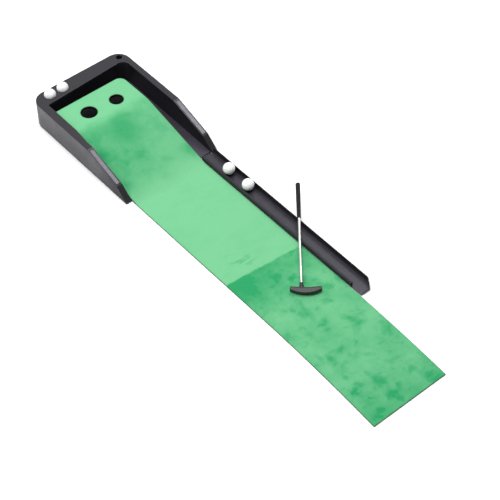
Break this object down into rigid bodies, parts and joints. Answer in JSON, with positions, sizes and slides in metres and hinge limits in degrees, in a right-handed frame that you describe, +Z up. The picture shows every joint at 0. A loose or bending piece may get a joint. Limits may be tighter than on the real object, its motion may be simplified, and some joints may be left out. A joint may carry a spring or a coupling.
{
  "type": "practice putting mat",
  "caption": "Green practice putting mat on a ramped black housing with target holes, a ball return channel and clip-together track, with balls and a short two-way putter.",
  "frame": {"origin": "on the floor under the mat, on the mat's centreline and half way along its length", "axes": "+X across the mat towards the return channel, +Y from the player's end to the housing, +Z up"},
  "size_m": [0.4782, 1.75, 0.1243],
  "materials": {
    "black_plastic": "satin moulded ABS with a fine grain",
    "screw_steel": "zinc plated",
    "foot_rubber": "matt",
    "hook_nylon": "woven hook tape",
    "mat_backing": "matt foamed rubber",
    "mat_pile": "short brushed velour",
    "ball_white": "dimpled, clear coated",
    "head_metal": "satin grey-brown",
    "hosel_black": "satin black",
    "shaft_chrome": "polished",
    "grip_rubber": "matt, ribbed"
  },
  "bodies": {
    "housing": {"housing_shell": "black_plastic", "left_wing_cap": "black_plastic", "right_wing_cap": "black_plastic", "base_screws": "screw_steel", "base_plate": "black_plastic", "housing_feet": "foot_rubber", "ramp": "black_plastic", "platform": "black_plastic", "deck_screws": "screw_steel", "hook_strips": "hook_nylon", "mat_backing": "mat_backing", "mat_pile": "mat_pile", "return_tray": "black_plastic", "return_chute": "black_plastic"},
    "track_rear": {"track_rear_section": "black_plastic"},
    "track_front": {"track_front_section": "black_plastic"},
    "ball_in_left_scoop": {"ball_ledge_left": "ball_white"},
    "ball_in_right_scoop": {"ball_ledge_right": "ball_white"},
    "ball_in_track_rear": {"ball_track_rear": "ball_white"},
    "ball_in_track_front": {"ball_track_front": "ball_white"},
    "putter": {"putter_head": "head_metal", "putter_hosel": "hosel_black", "putter_shaft": "shaft_chrome", "putter_grip": "grip_rubber", "putter_grip_cap": "grip_rubber"}
  },
  "joints": [
    {"name": "track_unplug", "type": "slide", "parent": "housing", "child": "track_rear", "axis": [0, -1, 0], "range_m": [0, 0.05]},
    {"name": "track_part", "type": "slide", "parent": "track_rear", "child": "track_front", "axis": [0, -1, 0], "range_m": [0, 0.04]},
    {"name": "rear_ball_roll", "type": "slide", "parent": "track_rear", "child": "ball_in_track_rear", "axis": [0, -1, 0], "range_m": [-0.1, 0.055]},
    {"name": "front_ball_roll", "type": "slide", "parent": "track_rear", "child": "ball_in_track_front", "axis": [0, -1, 0], "range_m": [0, 0.2]},
    {"name": "left_ball_lift", "type": "slide", "parent": "housing", "child": "ball_in_left_scoop", "axis": [0, 0, 1], "range_m": [0, 0.06]},
    {"name": "right_ball_lift", "type": "slide", "parent": "housing", "child": "ball_in_right_scoop", "axis": [0, 0, 1], "range_m": [0, 0.06]},
    {"name": "putter_lift", "type": "slide", "parent": "housing", "child": "putter", "axis": [0, 0, 1], "range_m": [0, 0.15]}
  ]
}
